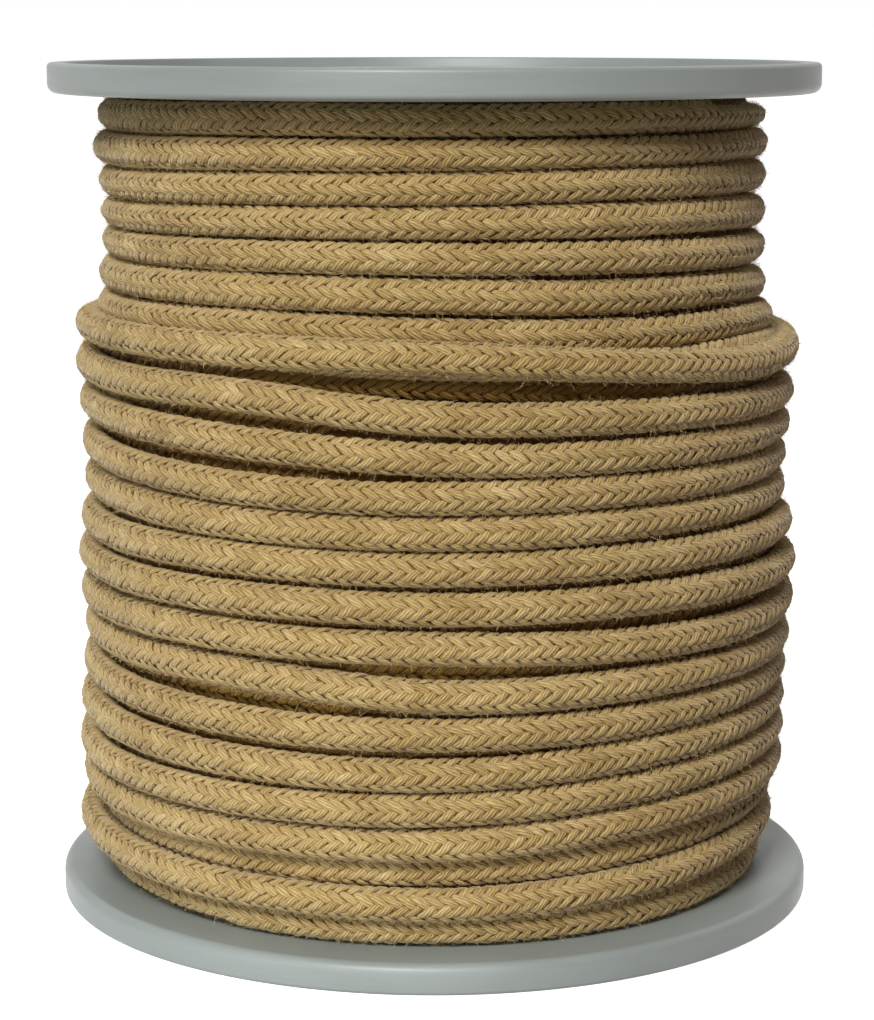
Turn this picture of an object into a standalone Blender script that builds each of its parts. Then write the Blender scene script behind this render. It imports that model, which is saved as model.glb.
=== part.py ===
"""Braided rope wound on a plastic reel.

The reel stands upright on its lower flange, with its axis on Z and its base at the origin.
The wound rope is one solid round the barrel, and each turn of the outer layers is a ridge on it.
Sizes below are in millimetres. The meshes are in metres.
"""
import math

import bmesh
import bpy
import numpy as np
from mathutils import Vector

MM = 0.001

# Reel
FLANGE_R = 70.0
REEL_HEIGHT = 153.2
FLANGE_T = 5.4
BARREL_R = 22.0
BORE_R = 18.0
BORE_CHAMFER = 0.6
HUB_RING_R = 25.0
HUB_SINK = 1.2
FACE_RECESS = 2.0
LIP_INNER_R = 66.8
LIP_DRAFT = 0.4
OUTER_EDGE_ROUND = 0.8
INNER_EDGE_ROUND = 1.7
REEL_SEGMENTS = 64

REEL_COLOUR = (0.33, 0.37, 0.36)
REEL_ROUGHNESS = 0.42
SHARP_EDGE = math.radians(40)

# Rope
ROPE_R = 3.0
SEAT_GAP = 0.3
WINDING_COLUMNS = 40
ROPE_COLOUR = (0.42, 0.32, 0.14)
ROPE_ROUGHNESS = 0.85
LAYER_STEP = 5.5
TOP_RING_R = 58.3
BOTTOM_RING_R = 59.8

# How a turn's ridge is drawn: its shoulders, the least it swells over its groove, the side of a raised
# turn where it meets a recessed one, and how near a crown or a shoulder may come to a groove
SHOULDER = 0.66 * ROPE_R
GROOVE_LEAST = 0.3 * ROPE_R
RAISED_SIDE = 0.95 * ROPE_R
CROWN_MARGIN = 0.3
SHOULDER_SHARE = 0.55
ROWS_A_TURN = 4

# Each turn of the outer layers, from the top down: height of its centre line at 60 and 30 degrees left,
# at the front, and at 30 and 60 degrees right, then the radius of its crown at left, front and right
TURNS = [
    # left  half   front  half   right   r left r front r right
    (144.1, 144.4, 144.4, 144.4, 144.4,  61.2, 61.0, 60.2),
    (138.4, 138.9, 139.0, 139.2, 139.4,  62.0, 61.2, 60.7),
    (132.4, 133.2, 133.5, 133.9, 133.7,  61.2, 61.0, 60.5),
    (127.0, 127.6, 127.9, 127.9, 127.4,  61.0, 61.0, 60.5),
    (121.8, 122.2, 122.2, 121.8, 121.0,  60.9, 61.0, 60.5),
    (115.9, 116.3, 115.9, 115.1, 114.7,  61.5, 61.0, 60.7),
    (109.8, 110.0, 109.5, 108.7, 108.5,  61.8, 61.2, 61.8),
    (106.8, 106.7, 106.2, 104.3, 102.0,  66.2, 66.4, 67.0),
    ( 99.2,  99.0,  96.4,  95.5,  94.8,  66.0, 66.0, 66.3),
    ( 92.1,  91.2,  89.6,  89.1,  88.7,  65.5, 65.8, 65.8),
    ( 84.5,  83.5,  83.1,  83.1,  83.0,  65.2, 65.8, 65.3),
    ( 77.9,  77.4,  77.1,  77.3,  77.2,  64.9, 65.7, 65.2),
    ( 71.1,  71.3,  71.1,  71.1,  70.7,  65.6, 65.8, 66.4),
    ( 64.4,  64.7,  64.4,  64.3,  63.8,  66.0, 65.8, 67.0),
    ( 57.6,  58.0,  57.8,  56.6,  56.0,  65.7, 65.8, 66.7),
    ( 51.3,  51.4,  49.7,  49.7,  49.5,  65.2, 65.8, 66.2),
    ( 43.9,  43.3,  43.0,  43.2,  43.5,  65.6, 65.8, 65.6),
    ( 36.6,  36.2,  36.2,  37.0,  37.7,  66.2, 65.8, 65.5),
    ( 29.5,  29.7,  30.2,  31.3,  31.9,  66.5, 65.8, 65.5),
    ( 23.3,  23.5,  24.0,  25.4,  26.0,  66.0, 65.8, 65.5),
    ( 18.3,  18.5,  18.9,  19.7,  20.5,  62.5, 62.5, 63.0),
    ( 14.5,  13.9,  13.7,  14.4,  15.2,  66.8, 66.0, 64.2),
    (  8.7,   8.7,   8.7,   8.7,   8.7,  62.5, 62.5, 61.8),
]
HEIGHT_COLUMNS = (-1 / 6, -1 / 12, 0.0, 1 / 12, 1 / 6)
RADIUS_COLUMNS = (-1 / 6, 0.0, 1 / 6)

# Where the first and the last turn tuck in under their neighbours, at the back: turn, height, crown radius
TUCK_IN = [(0.50, 144.4, 57.5), (0.70, 144.3, 60.8)]
TUCK_OUT = [(23.30, 8.7, 60.5), (23.50, 8.7, 57.5)]


def through_points(turns, values, at):
    """A smooth curve through the table's points."""
    slopes = np.gradient(values, turns)
    i = np.clip(np.searchsorted(turns, at) - 1, 0, len(turns) - 2)
    span = turns[i + 1] - turns[i]
    t = (np.clip(at, turns[0], turns[-1]) - turns[i]) / span
    return (
        (2 * t**3 - 3 * t**2 + 1) * values[i]
        + (t**3 - 2 * t**2 + t) * span * slopes[i]
        + (3 * t**2 - 2 * t**3) * values[i + 1]
        + (t**3 - t**2) * span * slopes[i + 1]
    )


def knots(columns, first_value, tuck_value):
    """The turn numbers and values of one of the two curves, tucked ends included."""
    points = [(row[0], row[tuck_value]) for row in TUCK_IN]
    for number, row in enumerate(TURNS, 1):
        for place, offset in enumerate(columns):
            points.append((number + offset, row[first_value + place]))
    points += [(row[0], row[tuck_value]) for row in TUCK_OUT]
    return np.array(points).T


HEIGHT_KNOTS = knots(HEIGHT_COLUMNS, 0, 1)
RADIUS_KNOTS = knots(RADIUS_COLUMNS, len(HEIGHT_COLUMNS), 2)


def rope_centre(turn):
    """Height and radius of the rope's centre line at a turn number, whole at the front."""
    height = through_points(*HEIGHT_KNOTS, turn)
    radius = through_points(*RADIUS_KNOTS, turn) - ROPE_R
    return height, radius


def rope_surface(turn, height):
    """Radius of the rope's outer side at a height beside its centre line."""
    centre, radius = rope_centre(turn)
    rise = ROPE_R**2 - (height - centre) ** 2
    return radius + math.sqrt(max(rise, GROOVE_LEAST**2))


def groove(turn):
    """Height and radius of the groove between a turn and the turn below it."""
    upper, upper_r = rope_centre(turn)
    lower, lower_r = rope_centre(turn + 1)
    step = min(max((lower_r - upper_r) / LAYER_STEP, -1.0), 1.0)
    middle = 0.5 * (upper + lower)
    edge = lower + RAISED_SIDE if step > 0 else upper - RAISED_SIDE
    height = middle + abs(step) * (edge - middle)
    recessed = turn if step > 0 else turn + 1
    gap = max(upper - lower - 2 * ROPE_R, 0.0)
    floor = min(upper_r, lower_r) + ROPE_R - LAYER_STEP
    radius = max(rope_surface(recessed, height) - gap, floor)
    return height, radius


def turn_rows(turn, above, below):
    """The three points of a turn's ridge, upper shoulder, crown and lower shoulder."""
    centre, _ = rope_centre(turn)
    margin = CROWN_MARGIN * (above - below)
    crown = min(max(centre, below + margin), above - margin)
    heights = (
        crown + min(SHOULDER, SHOULDER_SHARE * (above - crown)),
        crown,
        crown - min(SHOULDER, SHOULDER_SHARE * (crown - below)),
    )
    return [(height, rope_surface(turn, height)) for height in heights]


def section_rows(column):
    """All points of the winding's outer side at one angle, from the top ring to the bottom ring."""
    offset = column / WINDING_COLUMNS - 0.5
    top = REEL_HEIGHT - FLANGE_T - SEAT_GAP
    bottom = FLANGE_T + SEAT_GAP
    rows = [(top, TOP_RING_R)]
    for number in range(1, len(TURNS) + 1):
        turn = number + offset
        above = rows[-1][0]
        last = number == len(TURNS)
        below = (bottom, BOTTOM_RING_R) if last else groove(turn)
        rows += turn_rows(turn, above, below[0])
        rows.append(below)
    return rows


def add_object(name, mesh_data, material):
    """Link a named object made from a bmesh."""
    bmesh.ops.recalc_face_normals(mesh_data, faces=mesh_data.faces)
    mesh = bpy.data.meshes.new(name)
    mesh_data.to_mesh(mesh)
    mesh_data.free()
    mesh.materials.append(material)
    mesh.shade_smooth()
    mesh.set_sharp_from_angle(angle=SHARP_EDGE)
    placed = bpy.data.objects.new(name, mesh)
    bpy.context.collection.objects.link(placed)
    return placed


def principled(name, colour, roughness):
    """A plain Principled material."""
    material = bpy.data.materials.new(name)
    material.use_nodes = True
    shader = material.node_tree.nodes["Principled BSDF"]
    shader.inputs["Base Color"].default_value = (*colour, 1.0)
    shader.inputs["Roughness"].default_value = roughness
    shader.inputs["Metallic"].default_value = 0.0
    return material


def round_edge(centre_r, centre_z, radius, start, end, steps):
    """Points of a rounded edge, by angles in degrees from the outward direction."""
    angles = [math.radians(start + (end - start) * i / steps) for i in range(steps + 1)]
    return [(centre_r + radius * math.cos(a), centre_z + radius * math.sin(a)) for a in angles]


def flange_profile():
    """The lower half of the reel's section, from the bore round the flange to the barrel."""
    outer_r = FLANGE_R - OUTER_EDGE_ROUND
    inner_r = FLANGE_R - INNER_EDGE_ROUND
    points = [(BORE_R, HUB_SINK + BORE_CHAMFER), (BORE_R + BORE_CHAMFER, HUB_SINK)]
    points += [(HUB_RING_R, HUB_SINK), (HUB_RING_R + LIP_DRAFT, FACE_RECESS)]
    points += [(LIP_INNER_R - LIP_DRAFT, FACE_RECESS), (LIP_INNER_R, 0.0)]
    points += round_edge(outer_r, OUTER_EDGE_ROUND, OUTER_EDGE_ROUND, -90, 0, 2)
    points += round_edge(inner_r, FLANGE_T - INNER_EDGE_ROUND, INNER_EDGE_ROUND, 0, 90, 3)
    points.append((BARREL_R, FLANGE_T))
    return points


def make_reel():
    """The reel, one section turned round the axis."""
    lower = flange_profile()
    upper = [(radius, REEL_HEIGHT - height) for radius, height in reversed(lower)]
    profile = lower + upper
    reel = bmesh.new()
    rings = []
    for segment in range(REEL_SEGMENTS):
        angle = 2 * math.pi * segment / REEL_SEGMENTS
        turn = Vector((math.sin(angle), -math.cos(angle), 0.0))
        rings.append([reel.verts.new((turn * r + Vector((0, 0, z))) * MM) for r, z in profile])
    for segment, ring in enumerate(rings):
        following = rings[(segment + 1) % REEL_SEGMENTS]
        for i in range(len(profile)):
            j = (i + 1) % len(profile)
            reel.faces.new((ring[i], following[i], following[j], ring[j]))
    return add_object("reel", reel, principled("reel_plastic", REEL_COLOUR, REEL_ROUGHNESS))


def make_winding():
    """The wound rope, a ring round the barrel with every outer turn raised on it."""
    winding = bmesh.new()

    def vertex(column, height, radius):
        angle = 2 * math.pi * (column / WINDING_COLUMNS - 0.5)
        place = Vector((radius * math.sin(angle), -radius * math.cos(angle), height))
        return winding.verts.new(place * MM)

    grid = []
    for column in range(WINDING_COLUMNS):
        rows = section_rows(column)
        grid.append([vertex(column, *row) for row in rows])
    # At the back the first turn starts from the top ring, and each turn runs on into the next one
    first = grid[0]
    for row in range(1, ROWS_A_TURN + 1):
        winding.verts.remove(first[row])
        first[row] = first[0]
    last_row = len(first) - 1
    grid.append([first[min(row + ROWS_A_TURN, last_row)] for row in range(last_row + 1)])

    for left, right in zip(grid, grid[1:]):
        for row in range(last_row):
            corners = [left[row], left[row + 1], right[row + 1], right[row]]
            ring = list(dict.fromkeys(corners))
            if len(ring) > 2:
                winding.faces.new(ring)

    inner_r = BARREL_R + SEAT_GAP
    top = first[0].co.z / MM
    bottom = first[last_row].co.z / MM
    bore_top = [vertex(column, top, inner_r) for column in range(WINDING_COLUMNS)]
    bore_bottom = [vertex(column, bottom, inner_r) for column in range(WINDING_COLUMNS)]
    for column in range(WINDING_COLUMNS):
        after = (column + 1) % WINDING_COLUMNS
        outer_top = (grid[column][0], grid[column + 1][0])
        outer_bottom = (grid[column][last_row], grid[column + 1][last_row])
        winding.faces.new((outer_top[0], outer_top[1], bore_top[after], bore_top[column]))
        winding.faces.new((outer_bottom[1], outer_bottom[0], bore_bottom[column], bore_bottom[after]))
        winding.faces.new((bore_top[column], bore_top[after], bore_bottom[after], bore_bottom[column]))
    bmesh.ops.triangulate(winding, faces=winding.faces)
    return add_object("rope_winding", winding, principled("rope_yarn", ROPE_COLOUR, ROPE_ROUGHNESS))


for leftover in list(bpy.data.objects):
    bpy.data.objects.remove(leftover)
make_reel()
make_winding()
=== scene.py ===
"""Braided rope wound on a plastic reel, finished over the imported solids.

The rope is one long helix with its braid modelled strand by strand, in a few joined meshes. Sizes here are
in millimetres, and points are turned into metres where a mesh is made. A place on the rope is given by its
length along the centre line and by its roll, the angle round the rope, 0 facing away from the reel's axis
and a quarter turn facing up.
"""

import math

import bpy
import numpy as np
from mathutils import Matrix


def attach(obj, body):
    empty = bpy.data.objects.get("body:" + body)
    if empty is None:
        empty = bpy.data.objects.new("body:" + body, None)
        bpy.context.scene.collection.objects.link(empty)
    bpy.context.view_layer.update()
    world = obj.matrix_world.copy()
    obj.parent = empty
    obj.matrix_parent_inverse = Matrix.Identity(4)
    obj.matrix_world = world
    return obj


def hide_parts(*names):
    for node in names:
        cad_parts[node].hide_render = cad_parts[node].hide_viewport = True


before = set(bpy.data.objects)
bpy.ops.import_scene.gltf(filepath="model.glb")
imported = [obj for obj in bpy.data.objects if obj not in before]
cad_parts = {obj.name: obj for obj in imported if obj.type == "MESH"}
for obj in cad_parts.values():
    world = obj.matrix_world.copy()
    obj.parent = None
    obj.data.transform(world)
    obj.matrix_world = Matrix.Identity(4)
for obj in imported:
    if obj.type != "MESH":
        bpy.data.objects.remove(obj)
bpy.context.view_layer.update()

MM = 0.001
BODY = "root"

# Reel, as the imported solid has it
FLANGE_R = 70.0
REEL_HEIGHT = 153.2
FLANGE_T = 5.4
BARREL_R = 22.0
BORE_R = 18.0
BORE_CHAMFER = 0.6
HUB_RING_R = 25.0
HUB_SINK = 1.2
FACE_RECESS = 2.0
LIP_INNER_R = 66.8
LIP_DRAFT = 0.4
OUTER_EDGE_ROUND = 0.8
INNER_EDGE_ROUND = 1.7
SMALL_ROUND = 0.3
REEL_SEGMENTS = 160

# Rope
ROPE_R = 3.0
FACE_GAP = 0.3
LAYER_STEP = 5.7

# Each turn of the outer layers, from the top down: height of its centre line at 60 and 30 degrees left,
# at the front, and at 30 and 60 degrees right, then the radius of its crown at left, front and right
TURNS = [
    # left  half   front  half   right   r left r front r right
    (144.1, 144.4, 144.4, 144.4, 144.4,  61.2, 61.0, 60.2),
    (138.4, 138.9, 139.0, 139.2, 139.4,  62.0, 61.2, 60.7),
    (132.4, 133.2, 133.5, 133.9, 133.7,  61.2, 61.0, 60.5),
    (127.0, 127.6, 127.9, 127.9, 127.4,  61.0, 61.0, 60.5),
    (121.8, 122.2, 122.2, 121.8, 121.0,  60.9, 61.0, 60.5),
    (115.9, 116.3, 115.9, 115.1, 114.7,  61.5, 61.0, 60.7),
    (109.8, 110.0, 109.5, 108.7, 108.5,  61.8, 61.2, 61.8),
    (106.8, 106.7, 106.2, 104.3, 102.0,  66.2, 66.4, 67.0),
    ( 99.2,  99.0,  96.4,  95.5,  94.8,  66.0, 66.0, 66.3),
    ( 92.1,  91.2,  89.6,  89.1,  88.7,  65.5, 65.8, 65.8),
    ( 84.5,  83.5,  83.1,  83.1,  83.0,  65.2, 65.8, 65.3),
    ( 77.9,  77.4,  77.1,  77.3,  77.2,  64.9, 65.7, 65.2),
    ( 71.1,  71.3,  71.1,  71.1,  70.7,  65.6, 65.8, 66.4),
    ( 64.4,  64.7,  64.4,  64.3,  63.8,  66.0, 65.8, 67.0),
    ( 57.6,  58.0,  57.8,  56.6,  56.0,  65.7, 65.8, 66.7),
    ( 51.3,  51.4,  49.7,  49.7,  49.5,  65.2, 65.8, 66.2),
    ( 43.9,  43.3,  43.0,  43.2,  43.5,  65.6, 65.8, 65.6),
    ( 36.6,  36.2,  36.2,  37.0,  37.7,  66.2, 65.8, 65.5),
    ( 29.5,  29.7,  30.2,  31.3,  31.9,  66.5, 65.8, 65.5),
    ( 23.3,  23.5,  24.0,  25.4,  26.0,  66.0, 65.8, 65.5),
    ( 18.3,  18.5,  18.9,  19.7,  20.5,  62.5, 62.5, 63.0),
    ( 14.5,  13.9,  13.7,  14.4,  15.2,  66.8, 66.0, 64.2),
    (  8.7,   8.7,   8.7,   8.7,   8.7,  62.5, 62.5, 61.8),
]
HEIGHT_COLUMNS = (-1 / 6, -1 / 12, 0.0, 1 / 12, 1 / 6)
RADIUS_COLUMNS = (-1 / 6, 0.0, 1 / 6)

# Where a turn lies nearer to its neighbour at the right-hand edge: turn, height
EDGE_HEIGHTS = [(6.25, 113.7), (7.25, 107.4), (8.25, 102.7), (14.25, 62.8), (15.25, 56.6)]

# Where the first and the last turn tuck in under their neighbours, at the back: turn, height, crown radius
TUCK_IN = [(0.15, 144.8, 56.2), (0.32, 144.7, 58.2), (0.52, 144.5, 59.0), (0.70, 144.3, 60.8)]
TUCK_OUT = [(23.30, 8.7, 61.0), (23.50, 8.6, 59.6), (23.70, 8.6, 58.8), (23.90, 8.6, 57.6)]

# The layer below, which nests in the valleys between the outer turns and is numbered by the turn above it,
# and the plain form of all the layers under it. It starts as a turn of the upper layer, right below turn 7
UNDER_FIRST_TURN = 6.6
UNDER_BRAID_TURN = 6.9
UNDER_STEP_TURN = 7.5
UNDER_LAST_TURN = 22.3
UNDER_COLUMNS = (-2, -1, 0, 1)
# Floats of the layer below are laid where the gap is wider than SEEN_GAP; their tone is lowered as painted shade,
# by up to NARROW_SHADE, more as the gap narrows below OPEN_GAP
SEEN_GAP = 7.3
OPEN_GAP = 8.1
NARROW_SHADE = 9.0
NEST_SPACING = 9.0
NEST_RATE = 1.2
NEST_MOST = 2.4
UNEVEN_FROM = 1.0
UNEVEN_DROP = 0.7
CREVICE_TURN = 7.2
CREVICE_HALF_WIDTH = 0.1
CREVICE_RISE = 1.4
DEEP_LOWER_R = 58.0
DEEP_UPPER_R = 56.5
DEEP_STEP_HEIGHT = 103.0

# Braid: eight columns of floats round the rope, leaning alternately left and right
PITCH = 2.32
COLUMN_ANGLE = math.radians(45)
FLOAT_LEAN = math.radians(41)
FLOAT_HALF_LENGTH = 2.02
FLOAT_HALF_WIDTH = 0.82
FLOAT_TAPER = 0.13
FLOAT_CREST = 3.0
FLOAT_DIVE = 0.42
FLOAT_SIDE_DROP = 0.34
STRANDS = 3
CORE_R = 2.6
OUTWARD_COLUMNS = (-3, -2, -1, 0, 1)
PLY_SLANT = -0.30
PIECE_ENDS = (0.2, 6.5, 12.5, 18.5, 23.85)

# Roll of the boundary under column 0 at the front of each turn, in degrees, and its usual value
BRAID_ROLLS = (2, -7, -23, -30, -7, -17, -12, 24, 17, -3, 2, 13, 11, 11, 22, 26, 10, 15, 8, 26, 12, 11, -16)
USUAL_ROLL = 10

# Stretches whose upper side shows as well, where a turn stands out further than the turn above it
OPEN_TOPS = [(7.35, 8.6), (21.5, 22.5)]
UPWARD_COLUMN = 2

# Loose fibres: long bent hairs and a shorter straight down, most of them near the gaps
LONG_HAIRS = 28000
LONG_PIECES = 2
SHORT_HAIRS = 90000
FUZZ_EDGE_SHARE = 0.55


def through_points(turns, values, at):
    """A smooth curve through the table's points."""
    slopes = np.gradient(values, turns)
    i = np.clip(np.searchsorted(turns, at) - 1, 0, len(turns) - 2)
    span = turns[i + 1] - turns[i]
    t = (np.clip(at, turns[0], turns[-1]) - turns[i]) / span
    return (
        (2 * t**3 - 3 * t**2 + 1) * values[i]
        + (t**3 - 2 * t**2 + t) * span * slopes[i]
        + (3 * t**2 - 2 * t**3) * values[i + 1]
        + (t**3 - t**2) * span * slopes[i + 1]
    )


def knots(columns, first_value, tuck_value):
    """The turn numbers and values of one of the two curves, tucked ends included."""
    points = [(row[0], row[tuck_value]) for row in TUCK_IN]
    for number, row in enumerate(TURNS, 1):
        for place, offset in enumerate(columns):
            points.append((number + offset, row[first_value + place]))
    points += [(row[0], row[tuck_value]) for row in TUCK_OUT]
    return points


HEIGHT_KNOTS = np.array(sorted(knots(HEIGHT_COLUMNS, 0, 1) + EDGE_HEIGHTS)).T
RADIUS_KNOTS = np.array(knots(RADIUS_COLUMNS, len(HEIGHT_COLUMNS), 2)).T
FIRST_TURN = TUCK_IN[0][0]
LAST_TURN = TUCK_OUT[-1][0]


def helix_points(turn, radius, height):
    """Points at turn numbers, whole turns at the front."""
    angle = 2 * math.pi * turn
    return np.stack([radius * np.sin(angle), -radius * np.cos(angle), height], axis=-1)


def wound_line(turn):
    """The centre line of the outer layers, with the small unevenness of a wound rope."""
    height = through_points(*HEIGHT_KNOTS, turn) + 0.06 * np.sin(23.0 * turn) + 0.05 * np.sin(41.0 * turn + 1)
    radius = through_points(*RADIUS_KNOTS, turn) - ROPE_R + 0.09 * np.sin(31.0 * turn + 2)
    return helix_points(turn, radius, height)


def turn_spacing(turn):
    """How far a turn's centre line is from the next turn's."""
    return np.linalg.norm(wound_line(turn) - wound_line(turn + 1), axis=-1)


def under_line(turn):
    """The centre line of the layer below, by the number of the outer turn right above it."""
    above, below = wound_line(turn), wound_line(turn + 1)
    radius_above, radius_below = [np.hypot(line[..., 0], line[..., 1]) for line in (above, below)]
    nest = np.clip((NEST_SPACING - turn_spacing(turn)) * NEST_RATE, 0, NEST_MOST)
    drop = UNEVEN_DROP * np.clip(np.abs(radius_above - radius_below) - UNEVEN_FROM, 0, None)
    radius = np.maximum(radius_above, radius_below) - LAYER_STEP + nest - drop
    height = 0.5 * (above[..., 2] + below[..., 2])
    start = np.clip((UNDER_STEP_TURN - turn) * 4, 0, 1)
    radius = radius + start * (radius_above - radius)
    height = height + start * (above[..., 2] - 2 * ROPE_R - height)
    rise = CREVICE_RISE * np.exp(-(((turn - CREVICE_TURN) / CREVICE_HALF_WIDTH) ** 2))
    return helix_points(turn, radius + rise, height + rise)


def normalised(vectors):
    return vectors / np.linalg.norm(vectors, axis=-1, keepdims=True)


class Lay:
    """A laid rope: its centre line by length, its outward and upward directions, and its room to swell."""

    SAMPLES_A_TURN = 1000
    LOOK_AHEAD = 0.0005
    LEAST_ROOM = 1.7

    def __init__(self, line, first, last):
        self.turns = np.linspace(first, last, int((last - first) * self.SAMPLES_A_TURN) + 1)
        points = line(self.turns)
        steps = np.linalg.norm(np.diff(points, axis=0), axis=1)
        self.lengths = np.concatenate([[0.0], np.cumsum(steps)])
        along = normalised(line(self.turns + self.LOOK_AHEAD) - line(self.turns - self.LOOK_AHEAD))
        outward = helix_points(self.turns, 1.0, np.zeros_like(self.turns))
        outward = normalised(outward - along * np.sum(outward * along, axis=1, keepdims=True))
        self.tables = [points, outward, np.cross(outward, along), along]
        ceiling = REEL_HEIGHT - FLANGE_T - FACE_GAP - points[:, 2]
        floor = points[:, 2] - FLANGE_T - FACE_GAP
        above = 0.5 * np.linalg.norm(points - line(self.turns - 1), axis=1)
        below = 0.5 * np.linalg.norm(points - line(self.turns + 1), axis=1)
        above = np.where(self.turns - 1 < first, ceiling, above)
        below = np.where(self.turns + 1 > last, floor, below)
        self.rooms = [np.clip(room, self.LEAST_ROOM, ROPE_R) / ROPE_R for room in (above, below)]

    def length_at(self, turn):
        return np.interp(turn, self.turns, self.lengths)

    def turn_at(self, length):
        return np.interp(length, self.lengths, self.turns)

    def at(self, table, length):
        columns = [np.interp(length, self.lengths, table[:, axis]) for axis in range(3)]
        return np.stack(columns, axis=-1)

    def points(self, length, roll, radius):
        """Points of the rope, by length, roll and distance from the centre line."""
        centre, outward, up, _ = [self.at(table, length) for table in self.tables]
        above, below = [np.interp(length, self.lengths, room) for room in self.rooms]
        squeeze = np.where(np.sin(roll) > 0, above, below)
        sideways = (radius * np.cos(roll))[..., None] * outward
        return centre + sideways + (radius * np.sin(roll) * squeeze)[..., None] * up

    def directions(self, length, roll):
        """Unit directions at the rope's surface: out of it, round it and along it."""
        _, outward, up, along = [self.at(table, length) for table in self.tables]
        cosine, sine = np.cos(roll)[..., None], np.sin(roll)[..., None]
        return cosine * outward + sine * up, cosine * up - sine * outward, along


WOUND = Lay(wound_line, FIRST_TURN, LAST_TURN)
UNDER = Lay(under_line, UNDER_FIRST_TURN, UNDER_LAST_TURN)


def braid_roll(lay, length):
    """How far the braid's first column boundary is turned up from straight outward."""
    numbers = np.arange(1, len(BRAID_ROLLS) + 1)
    degrees = through_points(numbers, np.array(BRAID_ROLLS), lay.turn_at(length))
    return np.radians(degrees + 3 * np.sin(length / 41.0))


def mesh_object(name, points, corners, material, maps=None, tones_and_shade=None):
    """A smooth shaded piece from arrays: points in mm, equal-sided faces, UV maps and a tone a point, which may
    hold painted shade.

    A UV map has a place for each point or, where it has a seam, for each corner of each face.
    """
    faces, sides = corners.shape
    mesh = bpy.data.meshes.new(name)
    mesh.vertices.add(len(points))
    mesh.vertices.foreach_set("co", (points * MM).astype(np.float32).ravel())
    mesh.loops.add(faces * sides)
    mesh.loops.foreach_set("vertex_index", corners.astype(np.int32).ravel())
    mesh.polygons.add(faces)
    mesh.polygons.foreach_set("loop_start", np.arange(faces, dtype=np.int32) * sides)
    mesh.update(calc_edges=True)
    for map_name, places in (maps or {}).items():
        layer = mesh.uv_layers.new(name=map_name)
        if len(places) == len(points):
            places = places[corners.ravel()]
        layer.data.foreach_set("uv", places.astype(np.float32).ravel())
    if tones_and_shade is not None:
        tone = mesh.attributes.new("tone", "FLOAT", "POINT")
        tone.data.foreach_set("value", tones_and_shade.astype(np.float32))
    mesh.shade_smooth()
    mesh.materials.append(material)
    piece = bpy.data.objects.new(name, mesh)
    bpy.context.collection.objects.link(piece)
    return piece


def cells(count, width, height):
    """Lower corners and size of a grid of equal cells, each about width by height in shape."""
    across = max(1, math.ceil(math.sqrt(count * height / width)))
    down = math.ceil(count / across)
    index = np.arange(count)
    corner = np.stack([(index % across) / across, (index // across) / down], axis=-1)
    return corner, np.array([1 / across, 1 / down])


CELL_MARGIN = 0.06
ALONG_STEPS = np.linspace(-1, 1, 6)
ACROSS_STEPS = np.array([-1.0, -0.42, 0.42, 1.0])


def braid_floats(name, lay, places, material, seed, shade=0.0):
    """A mesh of floats, one slim grain of yarn for each (length, column) in places, their tone lowered by shade
    as painted shade.
    """
    random = np.random.default_rng(seed)
    centre_length, column = places
    count = len(column)
    lean = np.where(column % 2 == 0, -1.0, 1.0)
    centre_length = centre_length + 0.25 * PITCH * lean
    jitter = random.normal(0, 1, (5, count, 1, 1))
    along = ALONG_STEPS[None, :, None]
    across = ACROSS_STEPS[None, None, :]
    lean = lean[:, None, None]
    tilt = FLOAT_LEAN + math.radians(3.0) * jitter[0]
    run = FLOAT_HALF_LENGTH * along * (1 + 0.03 * jitter[1])
    side = FLOAT_HALF_WIDTH * across * (1 - FLOAT_TAPER * along**2) * (1 + 0.06 * jitter[2])
    down_rope = run * np.cos(tilt) - lean * side * np.sin(tilt)
    round_rope = lean * run * np.sin(tilt) + side * np.cos(tilt)
    length = centre_length[:, None, None] + down_rope
    roll = braid_roll(lay, centre_length)[:, None, None] + (column[:, None, None] + 0.5) * COLUMN_ANGLE
    roll = roll + (round_rope + 0.05 * jitter[3]) / ROPE_R
    crest = FLOAT_CREST + 0.05 * jitter[4]
    radius = crest - FLOAT_DIVE * np.abs(along) ** 3 - FLOAT_SIDE_DROP * np.abs(across) ** 2.2
    points = lay.points(length, roll, radius).reshape(-1, 3)

    rows, columns = len(ALONG_STEPS), len(ACROSS_STEPS)
    grid = np.arange(rows * columns).reshape(rows, columns)
    quads = np.stack([grid[:-1, :-1], grid[1:, :-1], grid[1:, 1:], grid[:-1, 1:]], axis=-1).reshape(-1, 4)
    corners = (quads[None] + (np.arange(count) * rows * columns)[:, None, None]).reshape(-1, 4)

    shape = (count, rows, columns)
    shift = random.uniform(0, 40, (count, 1, 1))
    yarn = np.stack([np.broadcast_to(run + shift, shape), np.broadcast_to(across, shape)], axis=-1)
    corner, size = cells(count, FLOAT_HALF_LENGTH, FLOAT_HALF_WIDTH)
    inside = np.stack(np.broadcast_arrays(along / 2 + 0.5, across / 2 + 0.5), axis=-1)
    inside = CELL_MARGIN + (1 - 2 * CELL_MARGIN) * inside
    bake = corner[:, None, None] + size * inside
    maps = {"Yarn": yarn.reshape(-1, 2), "OFBake": bake.reshape(-1, 2)}
    # Each float's random tone, lowered by the painted shade where one is given
    tones_and_shade = np.repeat(random.normal(0, 1, count) - shade, rows * columns)
    return mesh_object(name, points, corners, material, maps, tones_and_shade)


def float_places(lay, first_turn, last_turn, columns):
    """The (length, column) of every float between two turn numbers, in braid order."""
    first = math.ceil(lay.length_at(first_turn) / PITCH)
    last = math.ceil(lay.length_at(last_turn) / PITCH)
    steps = np.arange(first, last) * PITCH
    length, column = np.meshgrid(steps, np.array(columns), indexing="ij")
    turned_up = braid_roll(lay, length) - math.radians(USUAL_ROLL)
    column = column - np.round(turned_up / COLUMN_ANGLE).astype(int)
    return length.ravel(), column.ravel()


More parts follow.
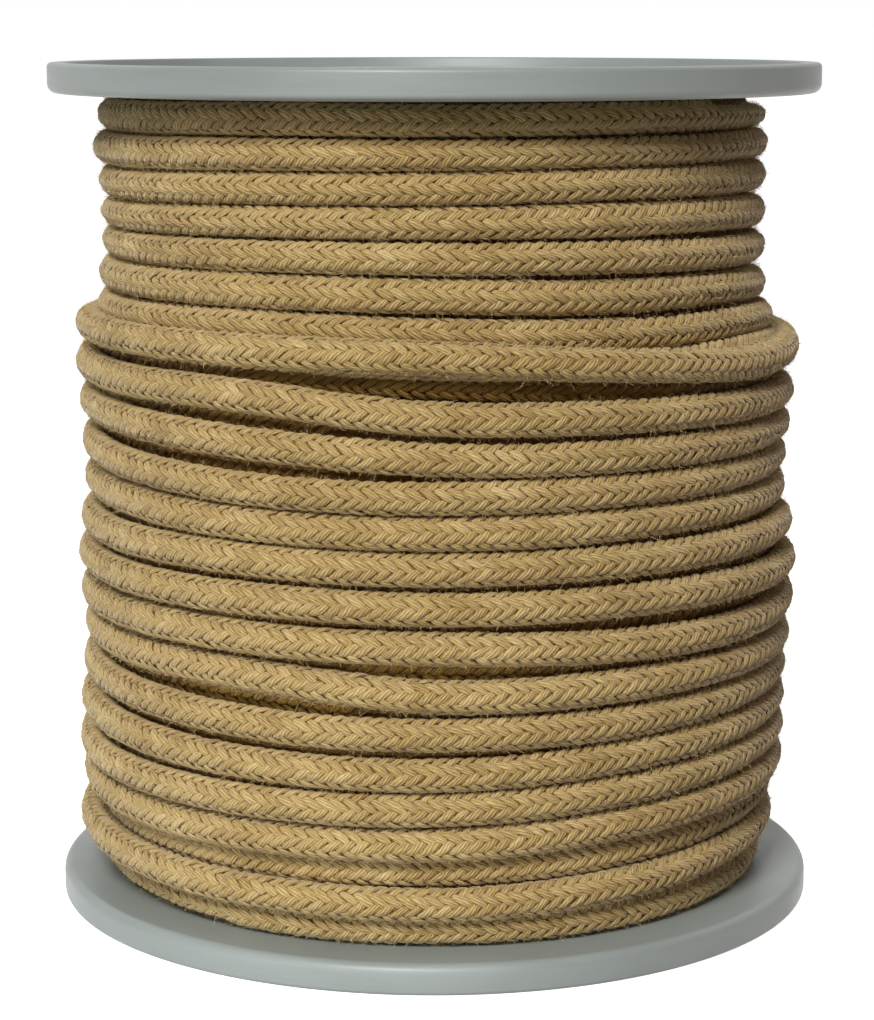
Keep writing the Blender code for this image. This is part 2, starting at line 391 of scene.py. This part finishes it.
def seen_places():
    """The (length, column) of the floats of the layer below that a gap leaves in sight, and the painted shade
    that darkens them where the gap is narrow.
    """
    length, column = float_places(UNDER, UNDER_STEP_TURN, UNDER_LAST_TURN, UNDER_COLUMNS)
    gap = turn_spacing(UNDER.turn_at(length))
    seen = gap > SEEN_GAP
    shade = NARROW_SHADE * np.clip((OPEN_GAP - gap) / (OPEN_GAP - SEEN_GAP), 0, 1)
    return (length[seen], column[seen]), shade[seen]


CORE_STEP = 8.0
CORE_SIDES = 10


def core_tube(name, lay, radius, material):
    """The closed tube of yarn inside the braid."""
    rings = int(lay.lengths[-1] / CORE_STEP) + 1
    length = np.linspace(0, lay.lengths[-1], rings)[:, None] + np.zeros(CORE_SIDES)
    roll = np.linspace(0, 2 * math.pi, CORE_SIDES, endpoint=False) + np.zeros((rings, 1))
    points = lay.points(length, roll, np.full(length.shape, radius)).reshape(-1, 3)
    grid = np.arange(rings * CORE_SIDES).reshape(rings, CORE_SIDES)
    beside = np.roll(grid, -1, axis=1)
    quads = np.stack([grid[:-1], grid[1:], beside[1:], beside[:-1]], axis=-1).reshape(-1, 4)
    sides = np.concatenate([quads[:, [0, 1, 2]], quads[:, [0, 2, 3]]])
    fan = np.arange(1, CORE_SIDES - 1)
    start = np.stack([grid[0, 0] + 0 * fan, grid[0, fan + 1], grid[0, fan]], axis=-1)
    end = np.stack([grid[-1, 0] + 0 * fan, grid[-1, fan], grid[-1, fan + 1]], axis=-1)
    return mesh_object(name, points, np.concatenate([sides, start, end]), material)


def fuzz(name, lay, count, bent, material, seed):
    """Loose fibre ends standing out of the rope, each a thin strip with a pointed tip."""
    random = np.random.default_rng(seed)
    length = random.uniform(lay.lengths[0], lay.lengths[-1], count)
    spread = random.uniform(-1, 1, count)
    edge = np.sign(spread) * np.radians(random.normal(68, 14, count))
    face = spread * math.radians(95)
    roll = np.where(random.uniform(0, 1, count) < FUZZ_EDGE_SHARE, edge, face)
    root = lay.points(length, roll, np.full(count, 2.85))
    out, round_rope, along = lay.directions(length, roll)
    away = np.cos(roll)[:, None] * out - np.sin(roll)[:, None] * round_rope

    def bend(strength):
        turn = random.normal(0, strength, (count, 2))
        return turn[:, :1] * along + turn[:, 1:] * round_rope

    start = normalised(out + 0.6 * away + bend(1.1))
    width = normalised(np.cross(start, random.normal(0, 1, (count, 3))))
    thick = random.uniform(0.018, 0.032, count)[:, None]
    if bent:
        reach = (0.6 + random.gamma(2.0, 0.34, count))[:, None]
        middle = root + start * reach * 0.5
        tip = middle + normalised(start + bend(0.9)) * reach * 0.5
        side = 0.75 * width * thick
        strip = [root - width * thick, root + width * thick, middle - side, middle + side, tip]
        triangles = np.array([(0, 1, 3), (0, 3, 2), (2, 3, 4)])
        inside = np.array([(0.1, 0.1), (0.9, 0.1), (0.1, 0.5), (0.9, 0.5), (0.5, 0.9)])
    else:
        reach = random.uniform(0.45, 1.1, count)[:, None]
        strip = [root - width * thick, root + width * thick, root + start * reach]
        triangles = np.array([(0, 1, 2)])
        inside = np.array([(0.1, 0.1), (0.9, 0.1), (0.5, 0.9)])
    points = np.stack(strip, axis=1).reshape(-1, 3)
    corners = (triangles[None] + (np.arange(count) * len(strip))[:, None, None]).reshape(-1, 3)
    corner, size = cells(count, 1.0, 1.0)
    bake = (corner[:, None] + size * inside).reshape(-1, 2)
    yarn = np.repeat(random.uniform(0, 40, (count, 2)), len(strip), axis=0)
    return mesh_object(name, points, corners, material, {"Yarn": yarn, "OFBake": bake})


def turned(name, profile, segments, material, maps=None):
    """A solid of revolution from a closed section of radii and heights, starting at the back."""
    profile = np.array(profile)
    rows = len(profile)
    turn = np.arange(segments)[:, None] / segments + 0.5
    points = helix_points(turn + np.zeros(rows), profile[:, 0] + 0 * turn, profile[:, 1] + 0 * turn)
    grid = np.arange(segments * rows).reshape(segments, rows)
    after = np.roll(grid, -1, axis=0)
    corners = np.stack([grid, after, np.roll(after, -1, axis=1), np.roll(grid, -1, axis=1)], axis=-1)
    return mesh_object(name, points.reshape(-1, 3), corners.reshape(-1, 4), material, maps)


def make_deep_layers(material):
    """The plain form of the hidden layers, which closes the winding behind the gaps."""
    low, high = FLANGE_T + FACE_GAP, REEL_HEIGHT - FLANGE_T - FACE_GAP
    inner = BARREL_R + FACE_GAP
    profile = [(inner, low), (DEEP_LOWER_R, low), (DEEP_LOWER_R, DEEP_STEP_HEIGHT)]
    profile += [(DEEP_UPPER_R, DEEP_STEP_HEIGHT + LAYER_STEP), (DEEP_UPPER_R, high), (inner, high)]
    return turned("rope_deep_layers", profile, 96, material)


def arc(centre, radius, start, end, steps):
    """Points of a rounded edge, by angles in degrees."""
    angles = np.radians(np.linspace(start, end, steps + 1))
    return [(centre[0] + radius * math.cos(a), centre[1] + radius * math.sin(a)) for a in angles]


def flange_profile():
    """The lower half of the reel's section, from the bore round the flange to the barrel."""
    edge = SMALL_ROUND
    points = arc((BORE_R + BORE_CHAMFER, HUB_SINK + BORE_CHAMFER), BORE_CHAMFER, 180, 270, 4)
    points += arc((HUB_RING_R - edge, HUB_SINK + edge), edge, 270, 360, 3)
    points.append((HUB_RING_R + LIP_DRAFT, FACE_RECESS))
    points += [(radius, FACE_RECESS) for radius in np.linspace(30, 64, 9)]
    points.append((LIP_INNER_R - LIP_DRAFT, FACE_RECESS))
    points += arc((LIP_INNER_R + edge, edge), edge, 180, 270, 3)
    points += arc((FLANGE_R - OUTER_EDGE_ROUND, OUTER_EDGE_ROUND), OUTER_EDGE_ROUND, 270, 360, 5)
    inner = (FLANGE_R - INNER_EDGE_ROUND, FLANGE_T - INNER_EDGE_ROUND)
    points += arc(inner, INNER_EDGE_ROUND, 0, 90, 7)
    points += [(radius, FLANGE_T) for radius in np.linspace(64, 28, 10)]
    points.append((BARREL_R, FLANGE_T))
    return points


def make_reel(material):
    """The moulded reel, with the seam of its UV map at the back."""
    lower = flange_profile()
    profile = np.array(lower + [(radius, REEL_HEIGHT - height) for radius, height in reversed(lower)])
    steps = np.linalg.norm(np.roll(profile, -1, axis=0) - profile, axis=1)
    run = np.concatenate([[0.0], np.cumsum(steps)]) / steps.sum()
    along = np.arange(REEL_SEGMENTS + 1) / REEL_SEGMENTS
    places = np.stack(np.meshgrid(along, run, indexing="ij"), axis=-1)
    places = np.stack([places[:-1, :-1], places[1:, :-1], places[1:, 1:], places[:-1, 1:]], axis=2)
    reel = turned("reel_moulding", profile, REEL_SEGMENTS, material, {"OFBake": places.reshape(-1, 2)})
    reel.data.set_sharp_from_angle(angle=math.radians(50))
    return reel


class Nodes:
    """Short ways to add and join the nodes of a material or a world."""

    def __init__(self, block):
        block.use_nodes = True
        self.tree = block.node_tree

    def add(self, kind, values=None, **settings):
        node = self.tree.nodes.new(kind)
        for key, value in settings.items():
            setattr(node, key, value)
        for key, value in (values or {}).items():
            self.put(node.inputs[key], value)
        return node

    def put(self, socket, value):
        if isinstance(value, bpy.types.NodeSocket):
            self.tree.links.new(value, socket)
        else:
            socket.default_value = value

    def math(self, operation, first, second=0.0, third=0.0):
        return self.add("ShaderNodeMath", {0: first, 1: second, 2: third}, operation=operation).outputs[0]

    def noise(self, vector, scale, detail=2.0, roughness=0.5):
        values = {"Vector": vector, "Scale": scale, "Detail": detail, "Roughness": roughness}
        return self.add("ShaderNodeTexNoise", values).outputs["Fac"]

    def stretch(self, vector, scale):
        values = {"Vector": vector, "Scale": scale}
        return self.add("ShaderNodeMapping", values).outputs[0]

    def ramp(self, factor, stops):
        node = self.add("ShaderNodeValToRGB", {"Fac": factor})
        elements = node.color_ramp.elements
        while len(elements) < len(stops):
            elements.new(0.5)
        for element, (place, colour) in zip(elements, stops):
            element.position = place
            element.color = (*colour, 1.0)
        return node.outputs["Color"]

    def bump(self, height, distance, strength=1.0, normal=None):
        values = {"Height": height, "Distance": distance, "Strength": strength}
        if normal is not None:
            values["Normal"] = normal
        return self.add("ShaderNodeBump", values).outputs["Normal"]


def new_material(name, **values):
    """A material's nodes, and its shader with the values that are the same all over."""
    material = bpy.data.materials.new(name)
    nodes = Nodes(material)
    shader = nodes.tree.nodes["Principled BSDF"]
    for socket, value in values.items():
        shader.inputs[socket.replace("_", " ")].default_value = value
    return material, nodes, shader.inputs


YARN_DARK = (0.180, 0.098, 0.024)
YARN_MIDDLE = (0.440, 0.302, 0.108)
YARN_LIGHT = (0.760, 0.590, 0.300)
YARN = (YARN_DARK, YARN_MIDDLE, YARN_LIGHT)
# Painted shade: a darker, browner copy of the yarn's colours for the layer below, seen in the gaps between turns
SHADED_YARN = ((0.120, 0.058, 0.010), (0.360, 0.205, 0.045), (0.640, 0.420, 0.130))


def rope_material(name, colours, sheen):
    """Matt spun yarn: each float is a few soft strands of fine fibres, uneven in tone, with painted shade along
    its sides.
    """
    material, nodes, shader = new_material(name, Roughness=0.72, Specular_IOR_Level=0.2)
    shader["Sheen Weight"].default_value = sheen
    shader["Sheen Roughness"].default_value = 0.4
    shader["Sheen Tint"].default_value = (1.0, 0.94, 0.84, 1.0)
    yarn = nodes.add("ShaderNodeUVMap", uv_map="Yarn").outputs[0]
    place = nodes.add("ShaderNodeTexCoord").outputs["Object"]
    tone = nodes.add("ShaderNodeAttribute", attribute_name="tone").outputs["Fac"]
    along, across, _ = nodes.add("ShaderNodeSeparateXYZ", {0: yarn}).outputs
    ply = nodes.math("MULTIPLY_ADD", along, PLY_SLANT, across)
    plies = nodes.add("ShaderNodeCombineXYZ", {0: along, 1: ply}).outputs[0]
    sway = nodes.noise(nodes.stretch(plies, (0.7, 0.6, 1.0)), 1.0, 1.0)
    strand = nodes.math("MULTIPLY_ADD", ply, STRANDS / 2, nodes.math("MULTIPLY", sway, 1.3))
    strand = nodes.math("COSINE", nodes.math("MULTIPLY", strand, math.pi))
    strand = nodes.math("POWER", nodes.math("ABSOLUTE", strand), 0.6)
    fibres = nodes.noise(nodes.stretch(plies, (0.8, 4.6, 1.0)), 1.0, 3.0, 0.6)
    patches = nodes.noise(place, 70.0, 2.0)
    mix = nodes.math("MULTIPLY_ADD", fibres, 0.85, -0.30)
    mix = nodes.math("MULTIPLY_ADD", strand, 0.25, mix)
    mix = nodes.math("MULTIPLY_ADD", patches, 0.28, mix)
    # Each float's random tone, which on the layer below also holds painted shade for narrow gaps
    mix = nodes.math("MULTIPLY_ADD", tone, 0.035, mix)
    # Painted shade in the grooves between floats, darker towards each float's sides
    painted_groove_shade = nodes.math("POWER", nodes.math("ABSOLUTE", across), 5.0)
    mix = nodes.math("MULTIPLY_ADD", painted_groove_shade, -0.30, mix)
    colour = nodes.ramp(mix, list(zip((0.10, 0.42, 0.76), colours)))
    height = nodes.math("MULTIPLY_ADD", fibres, 0.7, strand)
    nodes.put(shader["Base Color"], colour)
    nodes.put(shader["Normal"], nodes.bump(height, 0.00016, 0.9))
    return material


def core_material():
    """The yarn deep in the grooves, painted darker as shade."""
    material, nodes, shader = new_material("rope_core", Roughness=0.9, Specular_IOR_Level=0.1)
    place = nodes.add("ShaderNodeTexCoord").outputs["Object"]
    fibres = nodes.noise(place, 1500.0, 3.0)
    nodes.put(shader["Base Color"], nodes.ramp(fibres, [(0.3, CORE_PAINTED_SHADE), (0.7, YARN_DARK)]))
    nodes.put(shader["Normal"], nodes.bump(fibres, 0.0003))
    return material


# Painted shade: the dark end of the core's colours
CORE_PAINTED_SHADE = (0.100, 0.050, 0.011)


def fuzz_material():
    """Fine loose fibres, paler than the yarn they come from."""
    material, nodes, shader = new_material("rope_fuzz", Roughness=0.7, Specular_IOR_Level=0.2)
    yarn = nodes.add("ShaderNodeUVMap", uv_map="Yarn").outputs[0]
    tone = nodes.noise(yarn, 3.0, 1.0)
    nodes.put(shader["Base Color"], nodes.ramp(tone, [(0.3, YARN_MIDDLE), (0.7, YARN_LIGHT)]))
    return material


REEL_DARK = (0.249, 0.282, 0.273)
REEL_LIGHT = (0.302, 0.337, 0.326)


def reel_material():
    """Satin moulded plastic with faint flow marks, scuffs that run round the reel and a fine grain."""
    material, nodes, shader = new_material("reel_plastic", Specular_IOR_Level=0.6)
    place = nodes.add("ShaderNodeTexCoord").outputs["Object"]
    x, y, z = nodes.add("ShaderNodeSeparateXYZ", {0: place}).outputs
    angle = nodes.math("ARCTAN2", x, nodes.math("MULTIPLY", y, -1.0))
    radius = nodes.math("SQRT", nodes.math("MULTIPLY_ADD", x, x, nodes.math("MULTIPLY", y, y)))
    round_reel = nodes.add("ShaderNodeCombineXYZ", {0: angle, 1: radius, 2: z}).outputs[0]
    flow = nodes.noise(place, 24.0, 3.0)
    scuffs = nodes.noise(nodes.stretch(round_reel, (5.0, 900.0, 900.0)), 1.0, 4.0, 0.6)
    grain = nodes.noise(place, 1800.0, 2.0)
    wear = nodes.noise(place, 130.0, 4.0)
    mix = nodes.math("MULTIPLY_ADD", scuffs, 0.25, nodes.math("MULTIPLY", flow, 0.75))
    nodes.put(shader["Base Color"], nodes.ramp(mix, [(0.35, REEL_DARK), (0.65, REEL_LIGHT)]))
    gloss = nodes.math("MULTIPLY_ADD", wear, 0.14, nodes.math("MULTIPLY_ADD", scuffs, 0.16, 0.30))
    nodes.put(shader["Roughness"], gloss)
    marks = nodes.bump(scuffs, 0.00003, 0.7)
    nodes.put(shader["Normal"], nodes.bump(grain, 0.00002, 0.5, marks))
    return material


def joined(places):
    """Float places of several stretches as one."""
    return tuple(np.concatenate(column) for column in zip(*places))


def make_rope(yarn, painted_shade_yarn, core, hairs):
    """All pieces of the rope."""
    pieces = []
    for number, (first, last) in enumerate(zip(PIECE_ENDS, PIECE_ENDS[1:]), 1):
        places = float_places(WOUND, first, last, OUTWARD_COLUMNS)
        pieces.append(braid_floats(f"rope_braid_{number}", WOUND, places, yarn, number))
    places = joined([float_places(WOUND, *ends, (UPWARD_COLUMN,)) for ends in OPEN_TOPS])
    pieces.append(braid_floats("rope_braid_tops", WOUND, places, yarn, 10))
    places = float_places(UNDER, UNDER_BRAID_TURN, UNDER_STEP_TURN, UNDER_COLUMNS)
    pieces.append(braid_floats("rope_braid_step", UNDER, places, yarn, 11))
    places, shade = seen_places()
    pieces.append(braid_floats("rope_braid_under", UNDER, places, painted_shade_yarn, 12, shade))
    pieces.append(core_tube("rope_core", WOUND, CORE_R, core))
    pieces.append(core_tube("rope_under_core", UNDER, CORE_R, core))
    # The hidden layers take the core's colour, painted dark as shade
    pieces.append(make_deep_layers(core))
    for number in range(1, LONG_PIECES + 1):
        pieces.append(fuzz(f"rope_fuzz_long_{number}", WOUND, LONG_HAIRS, True, hairs, 30 + number))
    pieces.append(fuzz("rope_fuzz_short", WOUND, SHORT_HAIRS, False, hairs, 30))
    return pieces


def area_light(name, place, aim, size, power, colour):
    data = bpy.data.lights.new(name, "AREA")
    data.shape = "RECTANGLE"
    data.size, data.size_y = size
    data.energy = power
    data.color = colour
    light = bpy.data.objects.new(name, data)
    light.location = place
    direction = np.array(aim) - np.array(place)
    yaw = math.atan2(direction[1], direction[0]) - math.pi / 2
    fall = math.atan2(math.hypot(direction[0], direction[1]), -direction[2])
    light.rotation_euler = (fall, 0.0, yaw)
    bpy.context.collection.objects.link(light)
    return light


FLOOR_HALF = 6.0
FLOOR_GLOW = 0.85


def make_floor():
    """A plain white floor, bright enough to merge with the surround."""
    material, nodes, shader = new_material("floor_pale", Roughness=0.9, Emission_Strength=FLOOR_GLOW)
    place = nodes.add("ShaderNodeTexCoord").outputs["Object"]
    colours = [(0.0, (0.90, 0.90, 0.90)), (1.0, (0.94, 0.94, 0.94))]
    nodes.put(shader["Base Color"], nodes.ramp(nodes.noise(place, 3.0), colours))
    shader["Emission Color"].default_value = (1.0, 1.0, 1.0, 1.0)
    mesh = bpy.data.meshes.new("floor")
    side = FLOOR_HALF
    mesh.from_pydata([(-side, -side, 0), (side, -side, 0), (side, side, 0), (-side, side, 0)], [], [(0, 1, 2, 3)])
    mesh.materials.append(material)
    floor = bpy.data.objects.new("floor", mesh)
    floor.visible_diffuse = False
    bpy.context.collection.objects.link(floor)
    return floor


# The surround's light on the object, from the warm side at the lower right to the cool one at the upper left
SURROUND_SIDE = (-0.70, -0.60, 0.20)
SURROUND = [
    (0.10, (0.070, 0.032, 0.018)),
    (0.50, (0.092, 0.062, 0.044)),
    (0.90, (0.092, 0.100, 0.102)),
]
BACKDROP_START = 0.15
BACKDROP_FULL = 0.6


def make_world():
    """A surround seen white, with a white backdrop behind and soft light from the left in front."""
    world = bpy.data.worlds.new("white_surround")
    nodes = Nodes(world)
    direction = nodes.add("ShaderNodeTexCoord").outputs["Generated"]
    values = {0: direction, 1: SURROUND_SIDE}
    side = nodes.add("ShaderNodeVectorMath", values, operation="DOT_PRODUCT").outputs["Value"]
    glow = nodes.ramp(nodes.math("MULTIPLY_ADD", side, 0.5, 0.5), SURROUND)
    _, behind, _ = nodes.add("ShaderNodeSeparateXYZ", {0: direction}).outputs
    values = {0: behind, 1: BACKDROP_START, 2: BACKDROP_FULL}
    backdrop = nodes.add("ShaderNodeMapRange", values).outputs[0]
    seen = nodes.add("ShaderNodeLightPath").outputs["Is Camera Ray"]
    seen = nodes.math("MAXIMUM", seen, backdrop)
    white = (1.0, 1.0, 1.0, 1.0)
    mix = nodes.tree.nodes.new("ShaderNodeMix")
    mix.data_type = "RGBA"
    sockets = {socket.identifier: socket for socket in mix.inputs}
    nodes.put(sockets["Factor_Float"], seen)
    nodes.put(sockets["A_Color"], glow)
    nodes.put(sockets["B_Color"], white)
    colour = next(socket for socket in mix.outputs if socket.identifier == "Result_Color")
    nodes.put(nodes.tree.nodes["Background"].inputs["Color"], colour)
    bpy.context.scene.world = world


# Camera, fitted to the outlines of the two flanges in the photo
CAMERA_DISTANCE = 0.5200
CAMERA_HEIGHT = 0.1602
CAMERA_PITCH = 0.17108
CAMERA_YAW = 0.0009
CAMERA_LENS = 99.56
SENSOR = 36.0


def make_camera():
    data = bpy.data.cameras.new("camera")
    data.lens = CAMERA_LENS
    data.sensor_width = SENSOR
    data.clip_start = 0.01
    data.clip_end = 50.0
    camera = bpy.data.objects.new("camera", data)
    camera.location = (0.0, -CAMERA_DISTANCE, CAMERA_HEIGHT)
    camera.rotation_euler = (math.pi / 2 - CAMERA_PITCH, 0.0, -CAMERA_YAW)
    bpy.context.collection.objects.link(camera)
    bpy.context.scene.camera = camera


def make_lights():
    """A soft key from the upper left in front, and a little light thrown up by the floor on the left."""
    middle = (0.0, 0.0, 0.075)
    area_light("key", (-0.25, -1.0, 0.88), middle, (0.40, 0.40), 16.6, (1.0, 0.985, 0.955))
    area_light("bounce", (-0.10, -0.19, 0.010), (-0.01, 0.0, 0.006), (0.26, 0.02), 0.14, (0.96, 0.99, 1.0))


make_camera()
make_world()
make_lights()
make_floor()
bpy.context.scene.view_settings.view_transform = "Standard"

reel = make_reel(reel_material())
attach(reel, BODY)
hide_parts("reel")
yarn = rope_material("rope_yarn", YARN, 0.45)
# The layer below's yarn: the same yarn with painted shade, darker and without sheen
painted_shade_yarn = rope_material("rope_yarn_painted_shade", SHADED_YARN, 0.0)
for piece in make_rope(yarn, painted_shade_yarn, core_material(), fuzz_material()):
    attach(piece, BODY)
    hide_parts("rope_winding")
